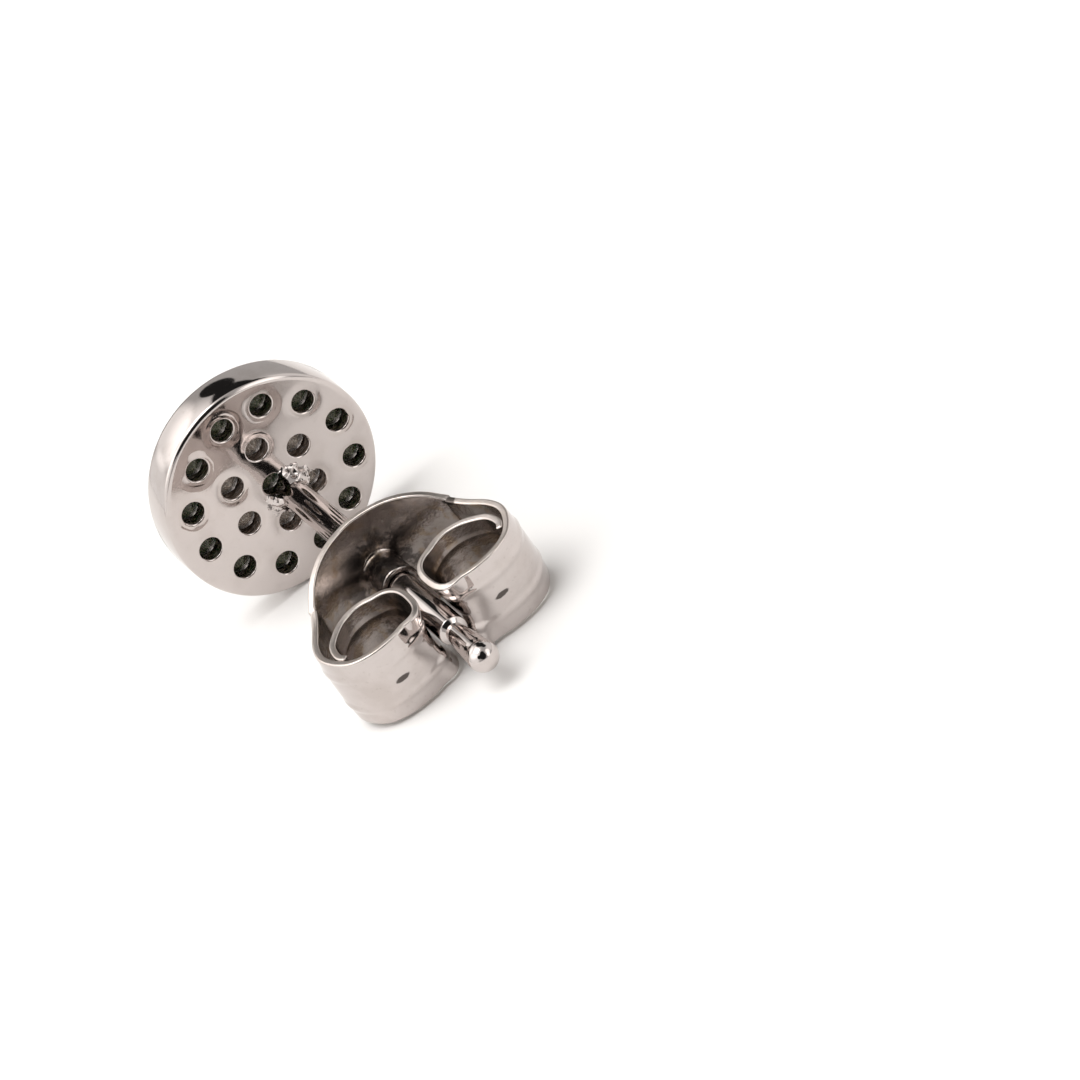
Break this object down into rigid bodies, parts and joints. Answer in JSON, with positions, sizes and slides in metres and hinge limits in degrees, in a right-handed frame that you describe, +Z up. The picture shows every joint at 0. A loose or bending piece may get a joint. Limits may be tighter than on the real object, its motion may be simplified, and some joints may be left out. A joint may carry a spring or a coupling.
{
  "type": "stud earring",
  "caption": "Stud earring lying on its rim: round head with small set stones, pierced back plate, straight post and sliding butterfly clutch.",
  "frame": {"origin": "on the surface it lies on, under the middle of its bounding box", "axes": "+Z up, +X across the clutch, +Y from the post's tip towards the head"},
  "size_m": [0.0066, 0.0128, 0.0063],
  "materials": {
    "silver": "polished, with light wear",
    "stone_green": "faceted, dark green",
    "stone_clear": "faceted, colourless"
  },
  "bodies": {
    "head": {"setting": "silver", "stone_center": "stone_green", "stone_inner_1": "stone_clear", "stone_inner_2": "stone_clear", "stone_inner_3": "stone_clear", "stone_inner_4": "stone_clear", "stone_inner_5": "stone_clear", "stone_inner_6": "stone_clear", "stone_outer_1": "stone_green", "stone_outer_2": "stone_green", "stone_outer_3": "stone_green", "stone_outer_4": "stone_green", "stone_outer_5": "stone_green", "stone_outer_6": "stone_green", "stone_outer_7": "stone_green", "stone_outer_8": "stone_green", "stone_outer_9": "stone_green", "stone_outer_10": "stone_green", "stone_outer_11": "stone_green", "stone_outer_12": "stone_green"},
    "clutch": {"clutch": "silver"}
  },
  "joints": [
    {"name": "clutch_slide", "type": "slide", "parent": "head", "child": "clutch", "axis": [0, -0.9897, -0.1434], "range_m": [-0.005, 0.0062]}
  ]
}
